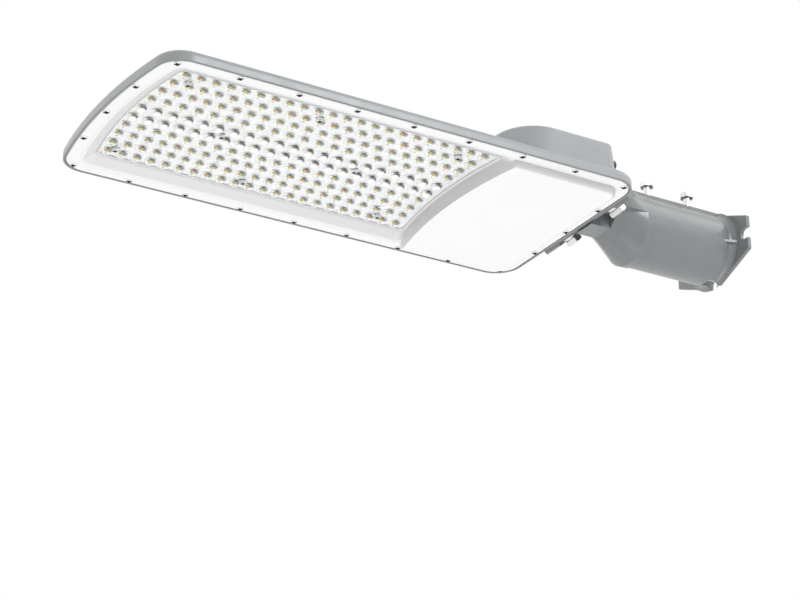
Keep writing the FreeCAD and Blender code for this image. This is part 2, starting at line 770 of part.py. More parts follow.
def make_slots():
    """Open slots at both sides and below, cut back into the flare for the bolt heads."""
    half = SLOT_WIDTH / 2
    back = -FLANGE_THICK - SLOT_POCKET
    slots = []
    for side in (-1, 1):
        y = side * (FLANGE_HALF_WIDTH - SLOT_DEPTH + half)
        edge = side * (FLANGE_HALF_WIDTH + OVERLAP)
        slots.append(rod(half, back, OVERLAP, y, 0))
        slots.append(block(back, OVERLAP, min(y, edge), max(y, edge), -half, half))
    z = -(FLANGE_HALF_HEIGHT - LOWER_SLOT_DEPTH + half)
    slots.append(rod(half, back, OVERLAP, 0, z))
    slots.append(block(back, OVERLAP, -half, half, -FLANGE_HALF_HEIGHT - OVERLAP, z))
    return slots


def tube_point(x, radius, angle):
    """Point round the socket's axis; 0 degrees is the +Y side and 90 is up."""
    a = math.radians(angle)
    return V(x, radius * math.cos(a), radius * math.sin(a))


def tube_arc(x, radius, start, end):
    middle = tube_point(x, radius, (start + end) / 2)
    return Part.Arc(tube_point(x, radius, start), middle, tube_point(x, radius, end)).toShape()


def make_neck():
    """Lower cone and keel, and the wide web above them that carries the foot."""
    x_ring = RING_FRONT
    waist = math.degrees(math.asin(WEB_FLOOR / RING_RADIUS))
    keel = math.degrees(math.acos(KEEL_ARC_HALF / RING_RADIUS))
    ends =[tube_point(x_ring, RING_RADIUS, a) for a in (180 - waist, waist)]
    big = Part.Wire([
        tube_arc(x_ring, RING_RADIUS, waist, -keel),
        tube_arc(x_ring, RING_RADIUS, -keel, keel - 180),
        tube_arc(x_ring, RING_RADIUS, keel - 180, -180 - waist),
        Part.makeLine(ends[0], ends[1]),
    ])
    corners = [(CONE_HALF_WIDTH, WEB_FLOOR), (KEEL_HALF_WIDTH, -KEEL_DROP),
               (-KEEL_HALF_WIDTH, -KEEL_DROP), (-CONE_HALF_WIDTH, WEB_FLOOR)]
    small = closed([V(-KEEL_BACK, y, z) for y, z in corners])
    cone = loft(small, big)
    start = foot_point(FOOT_HALF_RUN, -FOOT_THICK / 2)
    roof = WEB_FLOOR + WEB_HEIGHT
    web_small = closed([V(start.x, y, z) for y, z in
                        [(WEB_FLOOR_HALF, WEB_FLOOR), (WEB_TOP_HALF, roof),
                         (-WEB_TOP_HALF, roof), (-WEB_FLOOR_HALF, WEB_FLOOR)]])
    web_big = Part.Wire([
        tube_arc(x_ring, RING_RADIUS, waist, WEB_CORNER_ANGLE),
        tube_arc(x_ring, RING_RADIUS, WEB_CORNER_ANGLE, 180 - WEB_CORNER_ANGLE),
        tube_arc(x_ring, RING_RADIUS, 180 - WEB_CORNER_ANGLE, 180 - waist),
        Part.makeLine(ends[0], ends[1]),
    ])
    web = loft(web_small, web_big)
    front = foot_point(-FOOT_HALF_RUN, -FOOT_THICK)
    keel_block = across([(-KEEL_FRONT, -KEEL_DROP), (-KEEL_BACK, -KEEL_DROP),
                         (-KEEL_BACK, WEB_FLOOR), (front.x + KEEL_TOP_SETBACK, WEB_FLOOR)],
                        KEEL_HALF_WIDTH)
    return [cone, web, keel_block]


def make_foot():
    """Foot plate with its upper corners cut off, and a raised, round-edged pad at each end."""
    low, high = -FOOT_HALF_RUN, FOOT_HALF_RUN
    wide, narrow = FOOT_HALF_WIDTH, FOOT_TOP_HALF
    knee = low + FOOT_SHOULDER
    shapes = [foot_plate([(-wide, low), (wide, low), (wide, knee), (narrow, high),
                          (-narrow, high), (-wide, knee)], -FOOT_THICK, 0)]
    for side in (-1, 1):
        pad = foot_plate([(side * PAD_START, low), (side * wide, low), (side * wide, knee),
                          (side * narrow, high), (side * PAD_START, high)],
                         -FOOT_THICK, PAD_PROUD)
        edge = foot_point(low, PAD_PROUD, side * (PAD_START + wide) / 2)
        lowest = [e for e in pad.Edges if e.CenterOfMass.distanceToPoint(edge) < 0.01]
        shapes.append(pad.makeFillet(PAD_EDGE, lowest))
    return shapes


def set_bolt_places():
    return [-SET_BOLT_FIRST - k * SET_BOLT_PITCH for k in (0, 1)]


def make_gussets():
    """Thin ribs between the tube and the wall flange, one at each side."""
    root = TUBE_RADIUS - RIB_ROOT
    tip = TUBE_RADIUS + FLARE_PROUD
    low = -GUSSET_DROP - GUSSET_THICK / 2
    wire = closed([V(-FLANGE_THICK - GUSSET_LENGTH, root, low), V(-FLANGE_THICK, root, low),
                   V(-FLANGE_THICK, tip, low), V(-FLANGE_THICK - GUSSET_LENGTH, TUBE_RADIUS, low)])
    rib = Part.Face(wire).extrude(V(0, 0, GUSSET_THICK))
    return [rib, rib.mirror(V(0, 0, 0), V(0, 1, 0))]


def make_arm():
    """Cast arm: sloped foot, neck, pole socket with its clamping rib, and wall flange."""
    shapes = [make_tube(), make_flange()] + make_gussets() + make_neck() + make_foot()
    rib = block(RING_FRONT, -FLANGE_THICK, -RIB_HALF_WIDTH, RIB_HALF_WIDTH, 0, RIB_TOP)
    shapes.append(rib)
    for x in set_bolt_places():
        shapes.append(cylinder(BOSS_RADIUS, x, 0, TUBE_RADIUS - RIB_ROOT, RIB_TOP + BOSS_RISE))
    body = fuse(shapes)
    cuts = [rod(SOCKET_BORE / 2, -SOCKET_DEPTH, OVERLAP, 0, 0),
            rod(CABLE_BORE / 2, -FOOT_REACH - KEEP_OUT, -SOCKET_DEPTH + OVERLAP, 0, CABLE_RISE)]
    cuts += make_slots()
    for x in set_bolt_places():
        cuts.append(cylinder(SET_BOLT / 2 + BOLT_PLAY, x, 0, 0, RIB_TOP + BOSS_RISE + OVERLAP))
    for y in arm_bolt_sides():
        cuts.append(sloped_cylinder(ARM_BOLT / 2 + BOLT_PLAY, y, -FOOT_THICK - OVERLAP, OVERLAP))
        cuts.append(sloped_cylinder(SPOT_FACE_RADIUS, y, 0, SPOT_FACE_REACH))
    body = body.cut(cuts)
    beyond = foot_plate([(-HALF, -KEEP_OUT), (HALF, -KEEP_OUT), (HALF, KEEP_OUT),
                         (-HALF, KEEP_OUT)], -FOOT_THICK - KEEP_OUT, -FOOT_THICK)
    return body.cut(beyond)


def make_arm_bolts():
    """Hexagon bolts through the foot into the housing's seat."""
    bolts = []
    turn = FreeCAD.Rotation(V(0, 0, 1), foot_point(0, 1) - foot_point(0, 0))
    for y in arm_bolt_sides():
        head = hexagon(ARM_BOLT_FLATS, ARM_BOLT_HEAD)
        head.Placement = FreeCAD.Placement(foot_point(0, 0, y), turn)
        shank = sloped_cylinder(ARM_BOLT / 2, y, -ARM_BOLT_GRIP, 0)
        bolts.append(head.fuse(shank))
    return Part.makeCompound(bolts)


def make_set_bolts():
    """Bolts that clamp the pole, backed off to the bore."""
    under = RIB_TOP + BOSS_RISE + SET_BOLT_STANDOFF
    bolts = []
    for x in set_bolt_places():
        head = hexagon(SET_BOLT_FLATS, SET_BOLT_HEAD).translated(V(x, 0, under))
        tip = SOCKET_BORE / 2 + SET_BOLT_TIP_GAP
        bolts.append(head.fuse(cylinder(SET_BOLT / 2, x, 0, tip, under)))
    return Part.makeCompound(bolts)


def make_driver():
    """Power supply: a flat case with an ear at each end."""
    low, high = driver_place()
    case = block(low.x, high.x, low.y, high.y, low.z, high.z)
    case = case.makeChamfer(DRIVER_EDGE, level_edges(case, low.z))
    middle = (low.x + high.x) / 2
    half = GEAR_BOSS + DRIVER_EAR_MARGIN
    ears = block(middle - half, middle + half, low.y - DRIVER_EAR, high.y + DRIVER_EAR,
                 high.z - DRIVER_EAR_THICK, high.z)
    body = case.fuse(ears)
    for x, y in boss_places()[:2]:
        body = body.cut(cylinder(GEAR_SCREW + HOLE_PLAY, x, y, low.z, high.z + OVERLAP))
    return body


def make_driver_screws():
    face = CEILING - BOSS_DROP - DRIVER_EAR_THICK
    reach = DRIVER_EAR_THICK + GEAR_SCREW_BITE
    return Part.makeCompound([screw_up(x, y, face, GEAR_SCREW_HEAD, GEAR_SCREW_HEAD_HEIGHT,
                                       GEAR_SCREW, reach) for x, y in boss_places()[:2]])


def make_earth_screw():
    x, y = boss_places()[2]
    return screw_up(x, y, CEILING - BOSS_DROP, GEAR_SCREW_HEAD, GEAR_SCREW_HEAD_HEIGHT,
                    GEAR_SCREW, GEAR_SCREW_BITE)


def make_surge_protector():
    length, width, height = SURGE_SIZE
    x = gear_x()
    body = block(x - length / 2, x + length / 2, GEAR_SIDE - width / 2, GEAR_SIDE + width / 2,
                 CEILING - height, CEILING)
    return body.makeChamfer(SURGE_EDGE, level_edges(body, CEILING - height))


def make_terminal_block():
    """Terminal block with a wire entry for each way, on the side away from the wall."""
    length, width, height = TERMINAL_SIZE
    x = gear_x()
    body = block(x - length / 2, x + length / 2, -GEAR_SIDE - width / 2, -GEAR_SIDE + width / 2,
                 CEILING - height, CEILING)
    cuts = []
    for k in range(TERMINAL_WAY_COUNT):
        y = -GEAR_SIDE + (k - (TERMINAL_WAY_COUNT - 1) / 2) * width / (TERMINAL_WAY_COUNT + 1)
        cuts.append(rod(TERMINAL_WIRE, x - length / 2 - OVERLAP, x - length / 4, y,
                        CEILING - height / 2))
    return body.cut(cuts)


def make_terminal_screws():
    """One clamping screw for each way, on the block's face."""
    length, width, height = TERMINAL_SIZE
    face = CEILING - height
    screws = []
    for k in range(TERMINAL_WAY_COUNT):
        y = -GEAR_SIDE + (k - (TERMINAL_WAY_COUNT - 1) / 2) * width / (TERMINAL_WAY_COUNT + 1)
        screws.append(cylinder(TERMINAL_SCREW, gear_x(), y, face - TERMINAL_SCREW_PROUD, face))
    return Part.makeCompound(screws)


def hexagon_along_x(flats, x0, x1):
    body = hexagon(flats, x1 - x0)
    body.Placement = FreeCAD.Placement(V(x0, 0, CABLE_RISE),
                                       FreeCAD.Rotation(V(0, 0, 1), V(1, 0, 0)))
    return body


def make_gland():
    """Cable gland: hexagon and dome inside the compartment, thread through its back wall."""
    inner = HUMP_BACK_X - HUMP_WALL
    body = hexagon_along_x(GLAND_FLATS, inner - GLAND_HEX, inner)
    dome = Part.makeCone(GLAND_TIP, GLAND_FLATS / 2, GLAND_DOME,
                         V(inner - GLAND_HEX - GLAND_DOME, 0, CABLE_RISE), V(1, 0, 0))
    end = HUMP_BACK_X + GLAND_NUT_THICK + OVERLAP
    thread = rod(GLAND_HOLE - SCREW_PLAY, inner, end, 0, CABLE_RISE)
    lead = rod(GLAND_LEAD / 2, inner - GLAND_HEX - GLAND_DOME - OVERLAP, -FOOT_REACH, 0, CABLE_RISE)
    return fuse([body, dome, thread]).cut(lead)


def make_gland_nut():
    end = HUMP_BACK_X + GLAND_NUT_THICK
    nut = hexagon_along_x(GLAND_NUT_FLATS, HUMP_BACK_X, end)
    return nut.cut(rod(GLAND_HOLE, HUMP_BACK_X - OVERLAP, end + OVERLAP, 0, CABLE_RISE))


def make_vent():
    """Breather in the compartment's back wall."""
    z = vent_z()
    cap = rod(VENT_RADIUS, HUMP_BACK_X, HUMP_BACK_X + VENT_LENGTH, VENT_Y, z)
    edge = [e for e in cap.Edges if e.BoundBox.XMin > HUMP_BACK_X + VENT_LENGTH - 0.01]
    cap = cap.makeFillet(VENT_EDGE, edge)
    return cap.fuse(rod(VENT_THREAD, HUMP_BACK_X - HUMP_WALL, HUMP_BACK_X, VENT_Y, z))


def main():
    os.makedirs("parts", exist_ok=True)
    save("housing", make_housing())
    save("front_cover", make_cover())
    save("cover_gasket", make_gasket())
    save("cover_screws", make_cover_screws())
    save("lens_plate", make_lens_plate())
    save("lens_seal", make_lens_seal())
    save("lens_screws", make_lens_screws())
    save("led_board", make_board())
    save("led_chips", make_chips())
    save("arm", make_arm())
    save("arm_bolts", make_arm_bolts())
    save("set_bolts", make_set_bolts())
    save("driver", make_driver())
    save("driver_screws", make_driver_screws())
    save("earth_screw", make_earth_screw())
    save("surge_protector", make_surge_protector())
    save("terminal_block", make_terminal_block())
    save("terminal_screws", make_terminal_screws())
    save("cable_gland", make_gland())
    save("gland_nut", make_gland_nut())
    save("breather_vent", make_vent())


main()
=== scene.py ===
import math
from collections import namedtuple

import bmesh
import bpy
from mathutils import Matrix, Vector


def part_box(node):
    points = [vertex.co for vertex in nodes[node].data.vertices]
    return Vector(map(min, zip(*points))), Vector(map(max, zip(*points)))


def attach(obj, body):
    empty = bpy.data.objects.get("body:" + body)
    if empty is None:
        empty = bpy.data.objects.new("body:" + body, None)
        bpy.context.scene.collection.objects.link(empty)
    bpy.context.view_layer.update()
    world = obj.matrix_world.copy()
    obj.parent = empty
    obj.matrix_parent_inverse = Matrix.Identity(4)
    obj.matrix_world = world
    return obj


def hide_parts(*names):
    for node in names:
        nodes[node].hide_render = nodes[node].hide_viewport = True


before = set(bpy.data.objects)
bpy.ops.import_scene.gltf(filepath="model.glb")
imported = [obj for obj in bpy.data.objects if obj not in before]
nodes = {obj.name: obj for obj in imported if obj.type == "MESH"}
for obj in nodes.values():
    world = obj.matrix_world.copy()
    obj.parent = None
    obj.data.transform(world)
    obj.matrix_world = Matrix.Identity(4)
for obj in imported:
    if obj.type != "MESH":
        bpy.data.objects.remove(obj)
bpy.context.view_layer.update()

# Pieces are drawn in millimetres in the part's frame, and scaled to metres at the end.
# The origin is at the pole socket's mouth. The head lies along -X, and its light field faces down.


LOW = 0
HIGH = 1
X = 0
Y = 1
Z = 2


def reach_of(name, end, axis):
    """How far a CAD node reaches at the low or high end of an axis, in millimetres."""
    return round(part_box(name)[end][axis] * 1000, 3)


# Outline of the head
HEAD_FRONT = reach_of("housing", LOW, X)
HEAD_HALF = reach_of("housing", HIGH, Y)
HEAD_BACK = -187.8
NOSE_RADIUS = 600.0
HEAD_CORNER = 29.0
NOSE_POINTS = 32
FRONT_CORNER_POINTS = 10
BACK_CORNER_POINTS = 12

# Outline of the lens plate, with bowed ends
PLATE_FRONT = reach_of("lens_plate", LOW, X)
PLATE_HALF = reach_of("lens_plate", HIGH, Y)
PLATE_BACK = -341.0
PLATE_BOW = 480.0
PLATE_CORNER = 6.0
PLATE_LEDGE = 1.5
PLATE_END_POINTS = 24
PLATE_CORNER_POINTS = 6

# Levels: the housing's rim, the board, and the lower and upper face of the lens plate
RIM_Z = reach_of("housing", LOW, Z)
BOARD_Z = reach_of("led_board", LOW, Z)
LENS_BASE = 1.4
LENS_FACE = reach_of("lens_seal", HIGH, Z)
LENS_TOP = LENS_FACE + LENS_BASE

# Lenses and posts. The lenses of the two middle rows are taller and clearer than the rest.
LENS_RADIUS = 6.3
LENS_HEIGHT = 3.0
CLEAR_LENS_HEIGHT = 4.2
CLEAR_ROW_SIDE = 15.0
LENS_ROWS = 6
LENS_POINTS = 28
POST_RADIUS = 4.2
POST_HEIGHT = 2.2
POST_BORE = 1.8
POST_EDGE = 0.4

# A small dome in a lens: its place along and across from the lens's middle, how far below the
# plate's face it starts, its radii along and across, its height, and its rows and points
Bulge = namedtuple("Bulge", "along across below rx ry height rows points")
# Painted shade that a lens shows: a dark crescent, and a grey lobe and foot
SHADE_CRESCENT = Bulge(0.5, -2.6, 0.05, 4.2, 2.8, 0.5, 2, 24)
SHADE_LOBE = Bulge(3.0, -2.1, 0.2, 1.6, 2.0, 1.3, 4, 16)
SHADE_FOOT = Bulge(0.1, 3.0, 0.05, 1.1, 0.7, 0.6, 2, 10)
GLOW = Bulge(-1.3, -2.1, 0.1, 2.6, 2.0, 1.5, 4, 20)
CLEAR_CAP = Bulge(0.0, 0.4, 1.5, 4.2, 4.0, 2.2, 5, 20)
# Painted shade that a clear lens shows: a dark dot and a grey glint
CLEAR_SHADE_DOT = Bulge(2.1, 7.0, 0.0, 0.6, 0.6, 0.4, 2, 8)
CLEAR_GLINT = Bulge(4.4, 4.6, 0.1, 0.5, 0.5, 0.4, 2, 8)
CLEAR_GLOW = Bulge(-1.5, -2.9, 0.1, 1.3, 1.3, 1.5, 3, 12)

# The dark neck under a clear lens's cap, painted shade, as (rx, ry, depth below the plate's face)
NECK_ALONG = 1.3
NECK_ACROSS = -2.0
NECK_LEVELS = [(3.4, 3.0, 0.05), (3.3, 2.9, 1.4), (0, 0, 1.45)]
NECK_POINTS = 20

# Square ceramic body of an LED, as (radius to its corners, depth below the board)
LED_LEVELS = [(2.2, 0), (2.2, 0.55), (2.0, 0.7), (0, 0.7)]
LED_CORNERS = 4

# Sections of the strips round an outline, as (inset, height above the rim or the plate's face)
GAP_SHADE_SECTION = [(0.9, 0.05), (0.95, -0.1), (1.3, -0.2), (2.1, -0.2),
                (2.4, -0.05), (2.35, 1.2), (1.85, 1.2), (1.85, 0.05)]
LIP_GAP = 0.05
LIP_TOP = BOARD_Z - LENS_FACE - LIP_GAP
LIP_SECTION = [(2.7, LIP_TOP), (4.6, LIP_TOP), (4.6, -LIP_GAP), (3.8, -0.25),
               (3.3, -0.7), (3.0, -1.5), (2.7, -1.5)]

# Pan heads: radius, height of the CAD node's head, and height as drawn
Head = namedtuple("Head", "radius node_height height")
COVER_HEAD = Head(3.6, 2.0, 1.2)
LENS_HEAD = Head(2.9, 1.8, 1.8)
HEAD_POINTS = 28

# Shape of a pan head and its cross recess, as shares of the head's radius and height
PAN_PROFILE = [(1.0, 0.0), (1.0, 0.35), (0.95, 0.7), (0.84, 0.92), (0.6, 1.0), (0.0, 1.0)]
RECESS_LENGTH = 0.92
RECESS_WIDTH = 0.34
RECESS_DEPTH = 0.9
RECESS_FLOOR_LENGTH = 0.6
RECESS_FLOOR_WIDTH = 0.8
RECESS_PROUD = 0.5

# The shank below a pan head, and how the screws happen to be turned, in degrees
SHANK_SHARE = 0.5
SHANK_TIP = 1.0
SHANK_POINTS = 12
SCREW_TURN = -42.0
SCREW_TURN_STEP = 37
SCREW_TURN_RANGE = 23

# Hexagon bolts: thread, width across flats, head height, length below it, pitch and plain length
Bolt = namedtuple("Bolt", "diameter flats head length pitch plain")
FOOT_BOLT = Bolt(10.0, 16.0, 6.4, 26.0, 1.5, 6.0)
SET_BOLT = Bolt(8.0, 13.0, 6.0, 24.4, 1.25, 14.0)

# Where the foot bolts' axes meet the foot, their slope, and how each bolt happens to be turned
FOOT_REACH = 161.2
FOOT_TILT = 135
FOOT_BOLT_TURNS = (14, 31)
SET_BOLT_TURNS = (8, 27)

# Shape of a hexagon head: its round faces, the collar under it and the slopes of its chamfers
BOLT_POINTS = 48
FACE_SHARE = 0.95
COLLAR_HEIGHT = 0.25
UNDER_START = 0.3
UNDER_SLOPE = 0.3
TOP_SLOPE = 0.577

# Shape of a thread
ROWS_PER_TURN = 6
THREAD_PLAY = 0.05
THREAD_DEPTH = 0.5
TIP_TAPER = 0.8

# Flat and spring washer under a foot bolt: radii, and heights above the foot
FOOT_WASHER = 9.8
SPRING_WASHER = 8.3
WASHER_TOP = 1.2
SPRING_TOP = 3.0
WASHER_EDGE = 0.25
WASHER_POINTS = 40

# How far a shank reaches into its head, and the angle from which an edge stays sharp
SINK = 0.05
SHARP_ANGLE = 35

# The photograph's view, from below, in front and to one side: metres, degrees and millimetres
CAMERA_PLACE = Vector((-1.5431, -1.9036, -1.1435))
CAMERA_TURN = 31.06
CAMERA_RISE = 24.23
CAMERA_ROLL = -0.54
CAMERA_LENS = 112.05
CAMERA_SENSOR = 36

# Studio, in metres and watts
FLOOR_Z = -1.5
FLOOR_REACH = 6.0
WORLD_LIGHT = 0.68
LAMP_AIM = Vector((-0.4, 0.0, 0.0))
Lamp = namedtuple("Lamp", "direction distance size power")
LAMPS = {
    "lamp_side": Lamp((0.30, -0.85, 0.38), 2.2, 0.9, 21),
    "lamp_arm": Lamp((0.7, -0.3, 0.6), 2.0, 1.0, 5),
    "lamp_nose": Lamp((-0.85, 0.50, 0.10), 2.2, 0.7, 16),
    "lamp_below": Lamp((0.0, 0.0, -1.0), 1.4, 1.0, 5.5),
}


# Node materials

# Range of a noise value, and how rough the noise is
NOISE_LOW = 0.3
NOISE_HIGH = 0.7
NOISE_ROUGHNESS = 0.55

# Noise scales in cells per metre: colour drift and gloss of a paint, and turning marks
DRIFT_SCALE = 14.0
GLOSS_SCALE = 60.0
MARK_SCALE = 900.0
MARK_STRETCH = (1, 1, 6)
MARK_DEPTH = 0.000004

# How far the roughness moves up and down
GLOSS_CHANGE = 0.05
METAL_GLOSS_CHANGE = 0.06

# The upright part of a normal on a steep and on a level face, between which the painted wall shade
# fades out
STEEP_NORMAL = 0.86
LEVEL_NORMAL = 0.985


class NodeMaterial:
    """A Principled material, and the nodes that feed its shader."""

    def __init__(self, name):
        self.made = bpy.data.materials.new(name)
        self.made.use_nodes = True
        self.nodes = self.made.node_tree.nodes
        self.links = self.made.node_tree.links
        self.shader = self.find("BSDF_PRINCIPLED")
        self.output = self.find("OUTPUT_MATERIAL")

    def find(self, kind):
        return next(node for node in self.nodes if node.type == kind)

    def add(self, kind, values=()):
        """New node, with constants on some of its sockets."""
        node = self.nodes.new(kind)
        for socket, value in dict(values).items():
            node.inputs[socket].default_value = value
        return node

    def set(self, socket, value):
        """A constant on one of the shader's own sockets."""
        self.shader.inputs[socket].default_value = value

    def feed(self, socket, output):
        """Links an output to one of the shader's sockets."""
        self.links.new(output, self.shader.inputs[socket])

    def noise(self, scale, detail, stretch=(1, 1, 1)):
        """Noise in object space; scale is in cells per metre."""
        place = self.add("ShaderNodeTexCoord")
        mapping = self.add("ShaderNodeMapping", {"Scale": stretch})
        texture = self.add("ShaderNodeTexNoise", {
            "Scale": scale, "Detail": detail, "Roughness": NOISE_ROUGHNESS})
        self.links.new(place.outputs["Object"], mapping.inputs["Vector"])
        self.links.new(mapping.outputs["Vector"], texture.inputs["Vector"])
        return texture.outputs["Fac"]

    def uneven_gloss(self, value, roughness, change):
        """Roughness that a noise value moves up and down a little."""
        span = self.add("ShaderNodeMapRange", {
            "From Min": NOISE_LOW, "From Max": NOISE_HIGH,
            "To Min": roughness - change, "To Max": roughness + change})
        self.links.new(value, span.inputs["Value"])
        self.feed("Roughness", span.outputs["Result"])

    def tint(self, value, colour, darker, lighter):
        """The colour, which a noise value makes a little darker or lighter."""
        ramp = self.add("ShaderNodeValToRGB")
        ends = ((NOISE_LOW, darker), (NOISE_HIGH, lighter))
        for stop, (position, change) in zip(ramp.color_ramp.elements, ends):
            stop.position = position
            stop.color = (*[min(1.0, c * change) for c in colour], 1)
        self.links.new(value, ramp.inputs["Fac"])
        return ramp.outputs["Color"]

    def relief(self, value, depth, edge=0.0):
        """Fine relief of a given depth, on edges that look rounded by edge."""
        bump = self.add("ShaderNodeBump", {"Distance": depth, "Strength": 1.0})
        self.links.new(value, bump.inputs["Height"])
        if edge:
            bevel = self.add("ShaderNodeBevel", {"Radius": edge})
            bevel.samples = 4
            self.links.new(bevel.outputs["Normal"], bump.inputs["Normal"])
        self.feed("Normal", bump.outputs["Normal"])

    def painted_wall_shade(self, colour, share):
        """The colour, with painted shade that darkens it down to a share of it on steep walls."""
        place = self.add("ShaderNodeTexCoord")
        split = self.add("ShaderNodeSeparateXYZ")
        self.links.new(place.outputs["Normal"], split.inputs[0])
        level = self.add("ShaderNodeMath")
        level.operation = "ABSOLUTE"
        self.links.new(split.outputs["Z"], level.inputs[0])
        span = self.add("ShaderNodeMapRange", {
            "From Min": STEEP_NORMAL, "From Max": LEVEL_NORMAL, "To Min": share, "To Max": 1.0})
        self.links.new(level.outputs[0], span.inputs["Value"])
        mix = self.add("ShaderNodeMix")
        mix.data_type = "RGBA"
        mix.blend_type = "MULTIPLY"
        mix.inputs[0].default_value = 1.0
        self.links.new(colour, mix.inputs[6])
        self.links.new(span.outputs["Result"], mix.inputs[7])
        return mix.outputs[2]


def painted(name, colour, roughness, grain, depth, edge, vary=0.03, gloss_level=0.5, wall=1.0):
    """Powder coat: slight colour drift, uneven gloss and an orange-peel relief; with wall below 1,
    painted shade on steep walls.
    """
    mat = NodeMaterial(name)
    paint = mat.tint(mat.noise(DRIFT_SCALE, detail=4.0), colour, 1 - vary, 1 + vary)
    # Painted shade: steep walls darker than level faces
    if wall < 1.0:
        paint = mat.painted_wall_shade(paint, wall)
    mat.feed("Base Color", paint)
    mat.uneven_gloss(mat.noise(GLOSS_SCALE, detail=3.0), roughness, GLOSS_CHANGE)
    mat.relief(mat.noise(grain, detail=2.0), depth, edge)
    mat.set("Specular IOR Level", gloss_level)
    return mat.made


def steel(name, colour, roughness, edge=0.0):
    """Bare metal with fine turning marks."""
    mat = NodeMaterial(name)
    marks = mat.noise(MARK_SCALE, detail=2.0, stretch=MARK_STRETCH)
    mat.feed("Base Color", mat.tint(marks, colour, 0.93, 1.04))
    mat.uneven_gloss(marks, roughness, METAL_GLOSS_CHANGE)
    mat.relief(marks, MARK_DEPTH, edge)
    mat.set("Metallic", 1.0)
    return mat.made


def plastic(name, colour, roughness, grain=1400.0, depth=0.00001, vary=0.04):
    """Moulded plastic or rubber with a fine spark texture."""
    mat = NodeMaterial(name)
    fine = mat.noise(grain, detail=2.0)
    mat.feed("Base Color", mat.tint(fine, colour, 1 - vary, 1 + vary))
    mat.uneven_gloss(fine, roughness, GLOSS_CHANGE)
    mat.relief(fine, depth)
    return mat.made


def clear(name, colour, roughness):
    """Clear moulded plastic that lets the lamps' light reach what is behind it."""
    mat = NodeMaterial(name)
    mat.set("Base Color", (*colour, 1))
    mat.set("Roughness", roughness)
    mat.set("IOR", 1.12)
    mat.set("Transmission Weight", 1.0)
    mat.set("Coat Weight", 1.0)
    mat.set("Coat Roughness", 0.05)
    mat.set("Coat IOR", 1.5)
    through = mat.add("ShaderNodeBsdfTransparent", {"Color": (*colour, 1)})
    path = mat.add("ShaderNodeLightPath")
    mix = mat.add("ShaderNodeMixShader")
    mat.links.new(path.outputs["Is Shadow Ray"], mix.inputs["Fac"])
    mat.links.new(mat.shader.outputs["BSDF"], mix.inputs[1])
    mat.links.new(through.outputs["BSDF"], mix.inputs[2])
    mat.links.new(mix.outputs["Shader"], mat.output.inputs["Surface"])
    return mat.made


def grey(level):
    return (level, level, level)


HOUSING_GREY = (0.318, 0.334, 0.342)
COVER_WHITE = grey(0.925)
ARM_GREY = (0.198, 0.208, 0.213)

# Materials of the CAD nodes that stay
node_materials = {
    "housing": painted("housing paint", HOUSING_GREY, 0.32, 1500, 0.000006, edge=0.0008),
    # The front cover gets painted shade on its steep walls, down to 0.74 of its white
    "front_cover": painted("cover paint", COVER_WHITE, 0.35, 900, 0.000002, edge=0.0008,
                           vary=0.005, wall=0.74),
    "arm": painted("arm paint", ARM_GREY, 0.29, 1100, 0.000004, edge=0.0004, gloss_level=0.75),
    "cover_gasket": plastic("gasket rubber", grey(0.06), 0.6),
    "lens_seal": plastic("seal rubber", grey(0.6), 0.6),
    "led_board": plastic("board", (0.86, 0.86, 0.85), 0.35, depth=0.000002, vary=0.01),
    "driver": steel("driver case", (0.6, 0.61, 0.62), 0.4),
    "driver_screws": steel("driver screw steel", grey(0.7), 0.3),
    "earth_screw": steel("earth brass", (0.75, 0.55, 0.25), 0.3),
    "surge_protector": plastic("surge plastic", (0.08, 0.09, 0.1), 0.45),
    "terminal_block": plastic("terminal plastic", (0.78, 0.78, 0.75), 0.4),
    "terminal_screws": steel("terminal steel", grey(0.7), 0.3),
    "cable_gland": plastic("gland nylon", grey(0.05), 0.45),
    "gland_nut": plastic("gland nut nylon", grey(0.05), 0.45),
    "breather_vent": plastic("vent plastic", grey(0.03), 0.4),
}

for node_name, node_material in node_materials.items():
    node_mesh = nodes[node_name].data
    node_mesh.materials.clear()
    node_mesh.materials.append(node_material)

# Materials of the pieces drawn here
lens_clear = clear("lens", (0.985, 0.99, 0.99), 0.02)
# Dark and grey plastics that paint the shade seen inside the lenses
lens_shade_dark = plastic("lens painted shade", (0.14, 0.145, 0.16), 0.3, vary=0.2)
lens_shade_grey = plastic("lens painted grey shade", (0.40, 0.41, 0.43), 0.3, vary=0.1)
cap_white = plastic("bright lens", grey(0.93), 0.25, depth=0.000002, vary=0.01)
phosphor = plastic("phosphor", (0.50, 0.37, 0.065), 0.4, grain=500, vary=0.25)
ceramic = plastic("led body", (0.85, 0.85, 0.83), 0.4)
screw_steel = steel("screw steel", (0.8, 0.8, 0.79), 0.22)
# Near black in the screws' cross recesses is painted shade
recess_shade = plastic("screw recess painted shade", grey(0.012), 0.6)
bolt_steel = steel("bolt steel", (0.76, 0.76, 0.75), 0.32, 0.0003)
# Painted shade under the bolt heads
bolt_under_shade = steel("bolt underside painted shade", grey(0.20), 0.4)
# Dark grey that paints the shade in the gap at the cover's edge
gap_shade_strip = plastic("edge gap painted shade", (0.23, 0.235, 0.235), 0.6)
lip_rubber = plastic("seal lip", grey(0.80), 0.5, depth=0.000002, vary=0.01)


# Mesh helpers

def ring(bm, x, y, z, rx, ry, count):
    """Level loop of points, as wide as rx along the head and ry across it."""
    turns = [2 * math.pi * (k + 0.5) / count for k in range(count)]
    return [bm.verts.new((x + rx * math.cos(a), y + ry * math.sin(a), z)) for a in turns]


def bridge(bm, a, b, index=0):
    """Faces between two loops that have as many points."""
    count = len(a)
    for k in range(count):
        n = (k + 1) % count
        bm.faces.new((a[k], a[n], b[n], b[k])).material_index = index


